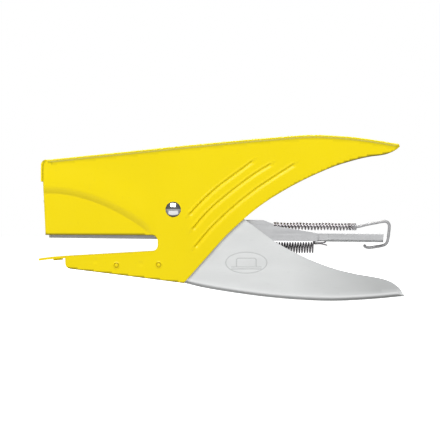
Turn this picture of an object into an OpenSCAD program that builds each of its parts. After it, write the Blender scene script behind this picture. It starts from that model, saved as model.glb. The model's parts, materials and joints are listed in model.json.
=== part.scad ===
// Hand-held plier stapler. A folded sheet-steel body carries the anvil jaw and
// the upper grip; the lower handle, the magazine and the driver turn on one rivet.
// Millimetres. The origin is the clinch point on top of the anvil, +X runs to the
// grips, +Z is up and the two cheeks lie on either side of Y = 0.

/* [Body] */
// Width across the outside of the two cheeks
body_w = 18; // [17.8:0.1:18.4]
// Thickness of the body's sheet steel
sheet = 1; // [0.9:0.05:1]
// Distance from the clinch point back to the pivot
pivot_x = 51.9; // [51.5:0.1:52.3]
// Height of the pivot above the clinch point
pivot_z = 21; // [20.8:0.1:21.4]
// Rise of the anvil and jaw towards the throat, in degrees
jaw_slope = 3.3; // [3:0.1:3.6]
// Radius of the corners at the throat's closed end
throat_r = 2.6; // [2:0.1:3]

/* [Pivot] */
// Radius of the pivot rivet's shank
rivet_r = 2.5; // [2.3:0.1:2.6]
// Radius of the pivot rivet's domed heads
rivet_head_r = 3.4; // [3.2:0.1:3.8]
// Height of the domed heads
rivet_head_h = 1.3; // [0.8:0.1:1.6]
// Radial clearance of everything that turns
play = 0.05; // [0.03:0.01:0.08]

/* [Lower handle] */
// Width across the outside of the lower handle
handle_w = 15.6; // [15.5:0.05:15.7]
// Thickness of the lower handle's sheet steel
handle_sheet = 0.9; // [0.8:0.05:0.9]
// Radius of the lever's rounded front end
lever_end_r = 4; // [3.6:0.1:4.2]

/* [Magazine] */
// Tilt of the magazine at rest, tail down, in degrees
mag_tilt = 0.75; // [0.5:0.05:1]
// Inside width of the magazine channel
channel_w = 12; // [11.9:0.05:12.1]
// Thickness of the channel's walls
channel_sheet = 0.7; // [0.6:0.05:0.7]
// Width of the staple rail
rail_w = 10.3; // [10.2:0.05:10.4]
// Thickness of the rail and the pusher
rail_sheet = 0.6; // [0.5:0.05:0.6]
// Width of a staple's crown
staple_w = 11.6; // [11.5:0.05:11.7]
// Thickness of the staple wire
staple_wire = 0.5; // [0.45:0.05:0.5]
// Length of the loaded staple strip
strip_len = 49; // [20:1:49]

/* [Rod and springs] */
// Radius of the follower rod and its hook
rod_r = 0.65; // [0.6:0.05:0.65]
// Mean radius of the follower spring
follower_coil_r = 1.5; // [1.4:0.05:1.6]
// Turns in the follower spring
follower_turns = 24; // [15:1:26]
// Mean radius of the return spring
return_coil_r = 2.25; // [1.9:0.05:2.3]
// Turns in the return spring
return_turns = 35; // [20:1:38]

/* [Hidden] */
$fn = 48;

half = body_w / 2;
inner = half - sheet;
grip = handle_w / 2;
grip_in = grip - handle_sheet;
wall_in = channel_w / 2;
wall_out = wall_in + channel_sheet;

// Heights in the magazine, measured from the pivot
mag_bottom = -13.4;
floor_top = mag_bottom + 0.5;
wall_top = -6.8;
rail_top = -9.8;
tail_bottom = -13.5;
pusher_top = -4.2;
rod_z = -6.6;
bridge_top = -3.3;

// Stations along the magazine, measured from the pivot
mag_front = -54.7;
driver_x = -54.05;
driver_t = 0.6;
strip_front = -53.6;
floor_front = -52.9;
channel_end = 64.8;
tail_start = 68.6;
tail_end = 94.4;
pusher_front = strip_front + strip_len + 0.3;
pusher_back = 45;
bridge_x = -33;
rod_front = -50;
collar_x = 80.3;
collar_l = 2.4;
hook_x = 81.5;
tab_hole_x = 66.9;
rail_rivet_x = [5, 53];
rail_rivet_r = 1.2;

// The driver hangs on a pin 3 mm over the pivot's level in the magazine's frame
pin_r = 1.5;
pin_up = 3;
pin = [
    pivot_x + driver_x * cos(mag_tilt) + pin_up * sin(mag_tilt),
    pivot_z - driver_x * sin(mag_tilt) + pin_up * cos(mag_tilt)
];

jaw_rivets = [[26.5, -4], [45.4, -3.8]];
seat_x = 19;
seat_z = 25.2;
seat_sheet = 0.9;
seat_rivet = [4, 2.25];
anchor = [66, 4.3];
return_z = 3.75;
web_end = 43;
web_step = 2.4;

// A smooth curve through the given points
function curve(p, steps = 4) = [
    for (i = [0:len(p) - 2], j = [0:steps - 1])
        let (
            a = p[max(i - 1, 0)], b = p[i], c = p[i + 1],
            d = p[min(i + 2, len(p) - 1)], t = j / steps
        )
        0.5 * (2 * b + (c - a) * t + (2 * a - 5 * b + 4 * c - d) * t * t
            + (3 * b - a - 3 * c + d) * t * t * t),
    p[len(p) - 1]
];

// Points on an arc about c, from angle a0 to angle a1
function arc(c, r, a0, a1, steps = 6) = [
    for (i = [0:steps])
        let (a = a0 + (a1 - a0) * i / steps)
        c + r * [cos(a), sin(a)]
];

// The line p moved to its right by d
function beside(p, d) = [
    for (i = [0:len(p) - 1])
        let (q = p[min(i + 1, len(p) - 1)] - p[max(i - 1, 0)])
        p[i] + d * [q[1], -q[0]] / norm(q)
];
function reversed(p) = [for (i = [len(p) - 1:-1:0]) p[i]];

// A sheet of thickness d lying on the right of the line p
function ribbon(p, d) = concat(p, reversed(beside(p, d)));

function jaw_z(x) = x * tan(jaw_slope);

// Outline of the body's cheeks
spine = curve([[-5, 43.3], [18, 45.7], [66, 50.6], [96, 53.3], [114, 54.5],
               [130, 53.75], [142, 52.25], [152.8, 50.4]]);
grip_edge = curve([[153.3, 49.2], [151.7, 47.8], [149.3, 46.5], [146, 45.6], [140, 44.8], [132.5, 43],
                   [122, 39.5], [106, 32], [90.5, 22.4], [77, 10.7], [66.4, -0.9], [56.6, -12]]);
nose = concat([[-7.3, 33.5], [-7.3, 38.5]], arc([-4.7, 40.8], 2.6, 170, 98, 4));
throat = concat(arc([42.4, jaw_z(42.4) + throat_r], throat_r, -87, 0),
                arc([42.4, 9.4 - throat_r], throat_r, 0, 90));
cheek = concat(
    spine, grip_edge,
    [[26, -8.1]], arc([6, -3.2], 2.4, 265, 180, 4), [[3.6, jaw_z(3.6)]],
    throat, [[-5.2, 9.6], [-6.3, 33.7], [-6.3, 41.5]]
);

// Outline of the lower handle and its lever
handle_spine = curve([[51, -10.9], [57, -12.1], [70, -14.9], [95, -18.4],
                      [120, -20], [140, -19.3], [155.2, -17.9]]);
handle_edge = curve([[155, -17.2], [153.9, -15], [152.1, -13.2], [149.4, -11.4], [146, -10.2], [139.8, -9],
                     [133, -7.8], [122.5, -5], [110, -0.1], [97.6, 6.4]]);
handle_cheek = concat(
    handle_spine, handle_edge,
    [[70.2, 26.7]], arc([60, 21.5], 8, 55, 95, 4), [[pin[0], pin[1] + lever_end_r]],
    arc(pin, lever_end_r, 100, 260, 8), [[pin[0], pin[1] - lever_end_r]],
    [[38, 14.6], [46.8, 12.4], [50.4, 2]]
);

// A side profile made into a slab from y0 to y1
module slab(y0, y1) {
    translate([0, y1, 0]) rotate([90, 0, 0]) linear_extrude(y1 - y0) children();
}

// The same slab on both sides
module pair(y0, y1) {
    slab(y0, y1) children();
    slab(-y1, -y0) children();
}

// A round bar across the width, between y0 and y1
module across(r, y0, y1, at = [0, 0]) {
    translate([at[0], y1, at[1]]) rotate([90, 0, 0]) cylinder(h = y1 - y0, r = r);
}

module bar(x0, x1, y, z0, z1) {
    translate([x0, -y, z0]) cube([x1 - x0, 2 * y, z1 - z0]);
}

// Places its children in the magazine's frame, with the pivot as the origin
module in_magazine() {
    translate([pivot_x, 0, pivot_z]) rotate([0, mag_tilt, 0]) children();
}

// A domed rivet head of radius r and height h, with its flat side on z = 0
module dome(r, h) {
    ball = (r * r + h * h) / (2 * h);
    rotate_extrude() intersection() {
        translate([0, h - ball]) circle(ball);
        square([r, h]);
    }
}

// A round wire of radius r along the points p, as a tube with the given sides
module wire(p, r, sides = 8) {
    n = len(p);
    function along(i) = let (q = p[min(i + 1, n - 1)] - p[max(i - 1, 0)]) q / norm(q);
    function ring(i, up) =
        let (t = along(i), u = cross(t, up) / norm(cross(t, up)), v = cross(u, t))
        [for (k = [0:sides - 1])
            p[i] + r * (cos(360 * k / sides) * u + sin(360 * k / sides) * v)];
    up = abs(along(0)[1]) > 0.5 ? [1, 0, 0] : [0, 1, 0];
    points = [for (i = [0:n - 1]) each ring(i, up)];
    skin = [for (i = [0:n - 2], k = [0:sides - 1])
        let (a = i * sides + k, b = i * sides + (k + 1) % sides)
        [a, b, b + sides, a + sides]];
    ends = [[for (k = [sides - 1:-1:0]) k], [for (k = [0:sides - 1]) (n - 1) * sides + k]];
    polyhedron(points, concat(skin, ends), convexity = 10);
}

// A coil spring along +Z: mean radius, wire radius, length and turns
module coil(mean_r, wire_r, length, turns, steps = 10, sides = 4) {
    count = turns * steps;
    rise = length - 2 * wire_r;
    points = [for (i = [0:count], k = [0:sides - 1])
        let (a = 360 * i / steps, b = 360 * (k + 0.5) / sides, r = mean_r + wire_r * cos(b))
        [r * cos(a), r * sin(a), wire_r + rise * i / count + wire_r * sin(b)]];
    skin = [for (i = [0:count - 1], k = [0:sides - 1])
        let (a = i * sides + k, b = i * sides + (k + 1) % sides)
        [a, b, b + sides, a + sides]];
    ends = [[for (k = [sides - 1:-1:0]) k], [for (k = [0:sides - 1]) count * sides + k]];
    polyhedron(points, concat(skin, ends), convexity = 20);
}

// Two cheeks joined by a folded spine, with a lip bent down over the nose
module body_shell() {
    color("gold") difference() {
        union() {
            pair(inner, half) polygon(cheek);
            slab(-half, half) polygon(ribbon(concat(nose, spine), sheet));
        }
        across(rivet_r, -half - 1, half + 1, [pivot_x, pivot_z]);
        for (at = jaw_rivets) across(1.25, -half - 1, half + 1, at);
    }
}

// Channel riveted into the jaw: its web is the anvil, and its rear tongue holds the spring
module anvil_plate() {
    front = 3.7;
    back = 49.8;
    tongue = 4;
    pocket = [1.9, 5, 0.5];
    color("gold") difference() {
        union() {
            rotate([0, -jaw_slope, 0]) {
                bar(-8.4, front + 0.3, 6.9, -sheet, 0);
                bar(front, web_end, inner, -sheet, 0);
                bar(-pocket[0], pocket[0], 6.2, -1.7, -0.5);
                pair(inner - sheet, inner) polygon([
                    [front, 0], [web_end, 0], [web_end, -web_step],
                    [back, -web_step], [back, -11], [front + 1.7, -3.8]
                ]);
                bar(web_end - 1, web_end, inner, -web_step, -0.5);
                bar(web_end - 1, back + 2.2, tongue, -web_step, 1 - web_step);
            }
            slab(-tongue, tongue)
                polygon(ribbon([[50, 1.3], [62.5, 1.3], [64.9, 2.3], [66.5, 6.1]], sheet));
        }
        rotate([0, -jaw_slope, 0]) for (side = [-1, 1])
            translate([-pocket[0] / 2, side * 3.8 - pocket[1] / 2, -pocket[2]])
                cube(pocket + [0, 0, 1]);
        for (at = jaw_rivets) across(1.25, -half, half, at);
        translate([anchor[0] - 3, 0, anchor[1]]) rotate([0, 90, 0]) cylinder(h = 6, r = 0.7);
    }
}

// Four short rivets that hold the anvil channel in the jaw
module anvil_rivets() {
    color("gold") for (at = jaw_rivets, side = [-1, 1])
        translate([at[0], side * (inner - sheet - 0.4), at[1]]) rotate([-90 * side, 0, 0]) {
            cylinder(h = 2 * sheet + 0.4, r = 1.25);
            cylinder(h = 0.4, r = 1.7);
            translate([0, 0, 2 * sheet + 0.4]) dome(1.5, 0.35);
        }
}

module pivot_rivet() {
    color("silver") {
        across(rivet_r, -half, half, [pivot_x, pivot_z]);
        for (side = [-1, 1])
            translate([pivot_x, side * half, pivot_z]) rotate([-90 * side, 0, 0])
                dome(rivet_head_r, rivet_head_h);
    }
}

module pivot_sleeve() {
    color("gray") difference() {
        across(3.3, -wall_in + 0.1, wall_in - 0.1, [pivot_x, pivot_z]);
        across(rivet_r + play, -half, half, [pivot_x, pivot_z]);
    }
}

// Channel open at the top: grip at the back, lever arms ahead of the pivot
module lower_handle() {
    color("gainsboro") difference() {
        union() {
            pair(grip_in, grip) polygon(handle_cheek);
            slab(-grip, grip) polygon(ribbon(reversed(handle_spine), handle_sheet));
        }
        across(rivet_r + play, -half, half, [pivot_x, pivot_z]);
        across(pin_r, -half, half, pin);
        for (x = [-1, 1] * seat_rivet[0]) across(0.9, -half, half, [seat_x + x, seat_z + seat_rivet[1]]);
    }
}

// Bridge between the lever arms that the pressure spring bears on
module spring_seat() {
    color("silver") difference() {
        union() {
            bar(seat_x - 7, seat_x + 7, grip_in, seat_z, seat_z + seat_sheet);
            pair(grip_in - seat_sheet, grip_in)
                translate([seat_x - 7, seat_z]) square([14, 3.5]);
            translate([seat_x, 0, seat_z - 1]) cylinder(h = 1.2, r = 1.6);
        }
        for (x = [-1, 1] * seat_rivet[0]) across(0.9, -half, half, [seat_x + x, seat_z + seat_rivet[1]]);
    }
}

module seat_rivets() {
    head = 0.4;
    foot = grip_in - seat_sheet - head;
    color("silver") for (x = [-1, 1] * seat_rivet[0], side = [-1, 1])
        translate([seat_x + x, side * foot, seat_z + seat_rivet[1]]) rotate([-90 * side, 0, 0]) {
            cylinder(h = grip - foot, r = 0.9);
            cylinder(h = head, r = 1.3);
        }
}

module driver_pin() {
    color("silver") across(pin_r, -grip, grip, pin);
}

// Blade that shears off one staple and drives it, with a rolled eye on the pin
module driver_blade() {
    color("darkgray") in_magazine() difference() {
        union() {
            across(2.3, -wall_in + 0.2, wall_in - 0.2, [driver_x, pin_up]);
            bar(driver_x - driver_t / 2, driver_x + driver_t / 2, wall_in - 0.2, -8.4, pin_up);
        }
        across(pin_r + play, -half, half, [driver_x, pin_up]);
    }
}

// Outer channel with pivot ears, and a tab with a hole for the return spring
module magazine_channel() {
    color("lightgray") in_magazine() difference() {
        union() {
            pair(wall_in, wall_out) polygon([
                [mag_front, mag_bottom], [channel_end, mag_bottom], [channel_end, -9.9],
                [62, -9.3], [56.7, -8.5], [46, wall_top], [8, wall_top], [6, -2],
                each arc([0, 0], 5.4, 0, 180, 10), [-6, -2], [-8, wall_top], [mag_front, wall_top]
            ]);
            bar(floor_front, channel_end, wall_out, mag_bottom, floor_top);
            bar(channel_end - 1, tail_start, 3, mag_bottom, floor_top);
        }
        across(rivet_r + play, -half, half);
        translate([tab_hole_x, 0, -20]) cylinder(h = 10, r = 0.8);
        for (x = rail_rivet_x) translate([x, 0, -20]) cylinder(h = 10, r = rail_rivet_r);
    }
}

module magazine_nose() {
    color("silver") in_magazine() {
        bar(mag_front - 0.7, mag_front, wall_out, mag_bottom, wall_top);
    }
}

// Inverted channel that the staples ride on; behind the magazine its edges turn in
module staple_rail() {
    w = rail_w / 2;
    t = rail_sheet;
    tail_w = w - 0.35;
    edge_w = 3.5;
    turn = 0.9;
    rail_end = tail_start + 1;
    color("lightgray") in_magazine() difference() {
        union() {
            bar(floor_front, rail_end, w, rail_top - t, rail_top);
            pair(w - t, w) translate([floor_front, floor_top])
                square([rail_end - floor_front, rail_top - floor_top]);
            for (x = rail_rivet_x) bar(x - 3, x + 3, w - t / 2, floor_top, floor_top + t);
            translate([tail_start, 0, 0]) rotate([90, 0, 90]) linear_extrude(tail_end - tail_start)
                difference() {
                    polygon([
                        [-tail_w, rail_top], [-tail_w, tail_bottom + turn], [-edge_w, tail_bottom],
                        [edge_w, tail_bottom], [tail_w, tail_bottom + turn], [tail_w, rail_top]
                    ]);
                    polygon([
                        [t - tail_w, rail_top - t], [t - tail_w, tail_bottom + turn + t / 2],
                        [t / 2 - edge_w, tail_bottom + t], [edge_w - t / 2, tail_bottom + t],
                        [tail_w - t, tail_bottom + turn + t / 2], [tail_w - t, rail_top - t]
                    ]);
                }
        }
        for (x = rail_rivet_x) translate([x, 0, floor_top - 1]) cylinder(h = 2, r = rail_rivet_r);
        bar(tail_end - 3.5, tail_end + 1, 1.8, tail_bottom - 1, rail_top - 1.5);
    }
}

module rail_rivets() {
    head_z = floor_top + rail_sheet;
    color("silver") in_magazine() for (x = rail_rivet_x) {
        translate([x, 0, mag_bottom]) cylinder(h = head_z + 0.4 - mag_bottom, r = rail_rivet_r);
        translate([x, 0, head_z]) cylinder(h = 0.5, r = 1.9);
    }
}

// Bridge over the pusher's path that carries the pressure spring
module spring_bridge() {
    color("silver") in_magazine() {
        bar(bridge_x - 4, bridge_x + 4, wall_out, bridge_top - rail_sheet, bridge_top);
        pair(wall_in + 0.1, wall_out)
            translate([bridge_x - 4, wall_top]) square([8, bridge_top - rail_sheet - wall_top]);
        translate([bridge_x, 0, bridge_top]) cylinder(h = 0.9, r = 1.6);
    }
}

module staple_strip() {
    s = staple_w / 2;
    color("silver") in_magazine() {
        bar(strip_front, strip_front + strip_len, s, rail_top + 0.05, rail_top + 0.05 + staple_wire);
        pair(s - staple_wire, s)
            translate([strip_front, floor_top + 0.15]) square([strip_len, rail_top + 0.05 - floor_top]);
    }
}

module pressure_spring() {
    foot = pivot_z - bridge_x * sin(mag_tilt) + bridge_top + 0.1;
    color("silver") translate([seat_x, 0, foot]) coil(2.6, 0.45, seat_z - foot - 0.1, 3, 12);
}

// Extension spring from the jaw's tongue to the magazine's tail tab
module return_spring() {
    coil_start = 73;
    coil_end = 114.5;
    hole = [pivot_x + tab_hole_x * cos(mag_tilt) + mag_bottom * sin(mag_tilt),
            pivot_z - tab_hole_x * sin(mag_tilt) + mag_bottom * cos(mag_tilt)];
    r = 0.4;
    color("silver") {
        translate([coil_start, 0, return_z]) rotate([0, 90, 0])
            coil(return_coil_r, 0.35, coil_end - coil_start, return_turns);
        wire([[coil_start + 0.2, 0, return_z + return_coil_r], [71, 0, return_z + 1.3], [68.5, 0, anchor[1]],
              [65, 0, anchor[1]], [64, 0, anchor[1] - 0.7]], r);
        wire([[coil_end - 0.2, 0, return_z + return_coil_r], [116, 0, hole[1] - 1],
              [hole[0] - 1.2, 0, hole[1] - 0.9], [hole[0] - 0.1, 0, hole[1] - 0.4],
              [hole[0], 0, hole[1] + 0.9]], r);
    }
}

// Follower folded over the rail; the spring drives it against the staples
module pusher() {
    w = wall_in - 0.1;
    t = rail_sheet;
    color("lightgray") in_magazine() difference() {
        union() {
            pair(w - t, w) polygon([
                [pusher_front, floor_top + 0.2], [pusher_back, floor_top + 0.2], [pusher_back, -5.9],
                [40.5, pusher_top], [pusher_front, pusher_top]
            ]);
            slab(-w, w) polygon(ribbon([
                [pusher_front, pusher_top], [40.5, pusher_top], [pusher_back, -5.9],
                [pusher_back, rail_top + 0.3]
            ], t));
            bar(pusher_front, pusher_front + t, w, rail_top + 0.3, pusher_top);
        }
        translate([-70, 0, rod_z]) rotate([0, 90, 0]) cylinder(h = 140, r = rod_r + play);
    }
}

// Straight guide rod with a peened front end
module pusher_rod() {
    color("silver") in_magazine() {
        translate([rod_front, 0, rod_z]) rotate([0, 90, 0]) {
            cylinder(h = hook_x - 0.2 - rod_front, r = rod_r);
            cylinder(h = 0.8, r = 1.3);
        }
    }
}

// Crimped collar: stops the spring and is the bearing of the hook
module rod_collar() {
    rod_end = hook_x - 0.2 - collar_x;
    color("silver") in_magazine() translate([collar_x, 0, rod_z]) rotate([0, 90, 0]) difference() {
        cylinder(h = collar_l, r = 1.6);
        translate([0, 0, -1]) cylinder(h = rod_end + 1, r = rod_r);
        translate([0, 0, rod_end]) cylinder(h = collar_l, r = rod_r + play);
    }
}

module pusher_spring() {
    color("silver") in_magazine() translate([pusher_back + 0.1, 0, rod_z]) rotate([0, 90, 0])
        coil(follower_coil_r, 0.25, collar_x - pusher_back - 0.2, follower_turns);
}

// Bent wire that closes behind and under the tail
module latch_hook() {
    top = [[hook_x + 1.6, rod_z], [84.2, -6.4], [86.5, -5.8], [91, -4.8], [94.6, -4.15]];
    bend = arc([95.3, -5.9], 1.8, 100, 5, 4);
    leg = [[96.9, -9.5]];
    foot = arc([93.6, -12.3], 3, 0, -80, 4);
    tip = [[91, -15.6], [88.6, -15.9], [87.1, -15.8], [86.1, -15.2]];
    route = concat(top, bend, leg, foot, tip);
    color("silver") in_magazine() {
        translate([hook_x, 0, rod_z]) rotate([0, 90, 0]) cylinder(h = 1.7, r = rod_r);
        wire([for (q = route) [q[0], 0, q[1]]], rod_r, 10);
    }
}

body_shell();
anvil_plate();
anvil_rivets();
pivot_rivet();
pivot_sleeve();
lower_handle();
spring_seat();
seat_rivets();
driver_pin();
driver_blade();
magazine_channel();
magazine_nose();
staple_rail();
rail_rivets();
spring_bridge();
staple_strip();
pressure_spring();
return_spring();
pusher();
pusher_rod();
rod_collar();
pusher_spring();
latch_hook();
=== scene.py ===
"""Looks of the plier stapler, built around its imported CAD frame.

Lengths are in millimetres until a mesh is made.
"""
import json
import math

import bpy
import bmesh
import numpy as np
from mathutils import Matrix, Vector, geometry


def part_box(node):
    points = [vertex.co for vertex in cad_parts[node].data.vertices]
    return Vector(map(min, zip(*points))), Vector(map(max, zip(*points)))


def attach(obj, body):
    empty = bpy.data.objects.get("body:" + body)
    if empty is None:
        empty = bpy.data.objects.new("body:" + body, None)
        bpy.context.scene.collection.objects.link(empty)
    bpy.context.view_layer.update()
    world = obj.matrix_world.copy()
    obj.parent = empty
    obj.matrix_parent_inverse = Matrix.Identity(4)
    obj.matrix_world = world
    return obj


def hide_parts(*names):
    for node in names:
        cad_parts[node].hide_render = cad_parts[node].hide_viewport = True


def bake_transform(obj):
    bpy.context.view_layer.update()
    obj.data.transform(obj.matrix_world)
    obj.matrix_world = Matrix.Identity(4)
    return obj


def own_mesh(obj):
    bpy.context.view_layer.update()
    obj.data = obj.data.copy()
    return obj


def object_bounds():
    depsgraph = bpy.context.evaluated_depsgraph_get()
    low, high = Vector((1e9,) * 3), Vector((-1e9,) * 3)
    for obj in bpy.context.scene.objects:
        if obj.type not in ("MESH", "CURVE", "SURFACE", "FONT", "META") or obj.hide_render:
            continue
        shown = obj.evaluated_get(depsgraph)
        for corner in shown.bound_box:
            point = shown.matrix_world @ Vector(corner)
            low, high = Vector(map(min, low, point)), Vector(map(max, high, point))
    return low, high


MM = 0.001

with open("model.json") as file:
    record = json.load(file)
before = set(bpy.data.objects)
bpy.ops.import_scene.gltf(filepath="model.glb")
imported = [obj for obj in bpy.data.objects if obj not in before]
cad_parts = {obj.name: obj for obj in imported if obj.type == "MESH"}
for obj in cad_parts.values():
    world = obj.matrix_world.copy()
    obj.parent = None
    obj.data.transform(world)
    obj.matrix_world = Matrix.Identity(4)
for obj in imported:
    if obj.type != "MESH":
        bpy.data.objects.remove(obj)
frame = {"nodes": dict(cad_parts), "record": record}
cad_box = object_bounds()
record = frame["record"]
JOINTS = {joint["name"]: joint for joint in record["behaviour"]["joints"]}
BODY_OF = {node: body for body, nodes in record["behaviour"]["bodies"].items() for node in nodes}
SLOT_OF = {part["node"]: part["material_slot"] for part in record["subparts"]}


def side_point(position):
    """The X and Z of a place given in metres, in millimetres."""
    return np.array([position[0], position[2]]) / MM


def low_high(node):
    low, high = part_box(node)
    return np.array(low) / MM, np.array(high) / MM


PIVOT = side_point(JOINTS["handle_squeeze"]["pos_m"])
HOOK_AXIS = side_point(JOINTS["hook_swing"]["pos_m"])
ALONG = np.array(JOINTS["rod_pull"]["axis"])
MAG_TILT = math.atan2(-ALONG[2], ALONG[0])


def from_pivot(*points):
    """Points given from the pivot, as places in the side view."""
    return np.array(points, float) + PIVOT


def in_magazine(x, z):
    """A place given along and above the magazine's own axes, from the pivot."""
    c, s = math.cos(MAG_TILT), math.sin(MAG_TILT)
    return np.array([PIVOT[0] + x * c + z * s, PIVOT[1] - x * s + z * c])


def to_magazine(place):
    """The inverse of in_magazine, for a place in the side view."""
    c, s = math.cos(MAG_TILT), math.sin(MAG_TILT)
    x, z = np.asarray(place) - PIVOT
    return x * c - z * s, x * s + z * c


HOOK_X, ROD_Z = to_magazine(HOOK_AXIS)


# ---------------------------------------------------------------- materials

def new_material(name):
    material = bpy.data.materials.new(name)
    material.use_nodes = True
    nodes = material.node_tree.nodes
    return material, nodes, material.node_tree.links, nodes["Principled BSDF"]


def texture_space(nodes, links, stretch=(1, 1, 1)):
    where = nodes.new("ShaderNodeTexCoord")
    mapping = nodes.new("ShaderNodeMapping")
    mapping.inputs["Scale"].default_value = stretch
    links.new(where.outputs["Object"], mapping.inputs["Vector"])
    return mapping.outputs["Vector"]


def noise(nodes, links, space, scale, detail=3.0, roughness=0.5):
    texture = nodes.new("ShaderNodeTexNoise")
    texture.inputs["Scale"].default_value = scale
    texture.inputs["Detail"].default_value = detail
    texture.inputs["Roughness"].default_value = roughness
    links.new(space, texture.inputs["Vector"])
    return texture.outputs["Fac"]


def remap(nodes, links, value, low, high, start=0.3, end=0.7):
    span = nodes.new("ShaderNodeMapRange")
    span.inputs["From Min"].default_value = start
    span.inputs["From Max"].default_value = end
    span.inputs["To Min"].default_value = low
    span.inputs["To Max"].default_value = high
    links.new(value, span.inputs["Value"])
    return span.outputs["Result"]


def blend_colour(nodes, links, factor, first, second):
    mix = nodes.new("ShaderNodeMix")
    mix.data_type = "RGBA"
    for socket, value in ((mix.inputs["A"], first), (mix.inputs["B"], second)):
        if isinstance(value, tuple):
            socket.default_value = (*value, 1)
        else:
            links.new(value, socket)
    links.new(factor, mix.inputs["Factor"])
    return mix.outputs["Result"]


def add_bump(nodes, links, shader, height, strength, distance):
    bump = nodes.new("ShaderNodeBump")
    bump.inputs["Strength"].default_value = strength
    bump.inputs["Distance"].default_value = distance
    links.new(height, bump.inputs["Height"])
    links.new(bump.outputs["Normal"], shader.inputs["Normal"])


def attribute(nodes, name):
    reader = nodes.new("ShaderNodeAttribute")
    reader.attribute_name = name
    return reader.outputs["Fac"]


def yellow_paint():
    """Gloss enamel with orange peel, painted shade at the bends and along cut edges, most where they face
    down.
    """
    material, nodes, links, shader = new_material("yellow_enamel")
    space = texture_space(nodes, links)
    drift = remap(nodes, links, noise(nodes, links, space, 22, 2), 0, 1)
    colour = blend_colour(nodes, links, drift, (0.94, 0.74, 0.002), (0.91, 0.71, 0.002))
    # The fold attribute darkens the bends: painted shade.
    fold = remap(nodes, links, attribute(nodes, "fold"), 0, 0.8, 0, 1)
    colour = blend_colour(nodes, links, fold, colour, (0.38, 0.32, 0.004))
    speck = remap(nodes, links, noise(nodes, links, space, 900, 2), 0, 0.25, 0.62, 0.75)
    colour = blend_colour(nodes, links, speck, colour, (0.80, 0.62, 0.01))
    # The rim attribute darkens the cut edges, most those facing down: painted shade.
    edge = remap(nodes, links, attribute(nodes, "rim"), 0, 0.9, 0.15, 0.9)
    colour = blend_colour(nodes, links, edge, colour, (0.09, 0.07, 0.01))
    links.new(colour, shader.inputs["Base Color"])
    rough = remap(nodes, links, noise(nodes, links, space, 140, 4), 0.30, 0.42)
    links.new(rough, shader.inputs["Roughness"])
    shader.inputs["Specular IOR Level"].default_value = 0.12
    shader.inputs["Coat Weight"].default_value = 0.25
    shader.inputs["Coat Roughness"].default_value = 0.25
    add_bump(nodes, links, shader, noise(nodes, links, space, 520, 3), 0.12, 0.0001)
    return material


# The stretch of the lower handle over which painted shade darkens it towards the tip, along X
TIP_SHADE_SPAN = (105, 143.5)
# The stretch over which the bare springs' shine gives way to a dull grey at the latch's start, painted shade,
# along X
LATCH_SHADE_SPAN = (131.5, 134)


def rise_along(nodes, links, space, span, top):
    """A value that grows from 0 to top over a span of X."""
    place = nodes.new("ShaderNodeSeparateXYZ")
    links.new(space, place.inputs["Vector"])
    return remap(nodes, links, place.outputs["X"], 0, top, span[0] * MM, span[1] * MM)


def satin_grey():
    """Satin nickel with a fine grain, a painted highlight along the bend and painted shade towards the tip.
    """
    material, nodes, links, shader = new_material("satin_grey")
    space = texture_space(nodes, links)
    grain_space = texture_space(nodes, links, (0.25, 1, 1))
    drift = remap(nodes, links, noise(nodes, links, space, 30, 3), 0, 1)
    colour = blend_colour(nodes, links, drift, (0.85, 0.865, 0.86), (0.82, 0.835, 0.83))
    marks = remap(nodes, links, noise(nodes, links, grain_space, 1300, 2), 0, 0.22, 0.6, 0.78)
    colour = blend_colour(nodes, links, marks, colour, (0.68, 0.69, 0.69))
    # Darker towards the tip: painted shade.
    painted_tip_shade = rise_along(nodes, links, space, TIP_SHADE_SPAN, 0.62)
    colour = blend_colour(nodes, links, painted_tip_shade, colour, (0.42, 0.43, 0.43))
    # The rim attribute darkens the cut edges: painted shade.
    edge = remap(nodes, links, attribute(nodes, "rim"), 0, 0.7, 0.2, 1)
    colour = blend_colour(nodes, links, edge, colour, (0.30, 0.31, 0.32))
    # The fold attribute brightens the bend: a painted highlight.
    painted_bend_highlight = remap(nodes, links, attribute(nodes, "fold"), 0, 0.75, 0, 1)
    colour = blend_colour(nodes, links, painted_bend_highlight, colour, (0.98, 0.99, 0.99))
    # The mark attribute darkens the emblem's pressed lines: painted shade.
    painted_groove_shade = remap(nodes, links, attribute(nodes, "mark"), 0, 0.5, 0, 0.8)
    colour = blend_colour(nodes, links, painted_groove_shade, colour, (0.36, 0.37, 0.37))
    links.new(colour, shader.inputs["Base Color"])
    shader.inputs["Metallic"].default_value = 0.4
    rough = remap(nodes, links, noise(nodes, links, grain_space, 260, 4), 0.36, 0.46)
    links.new(rough, shader.inputs["Roughness"])
    add_bump(nodes, links, shader, noise(nodes, links, grain_space, 1500, 3), 0.08, 0.00006)
    return material


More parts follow.
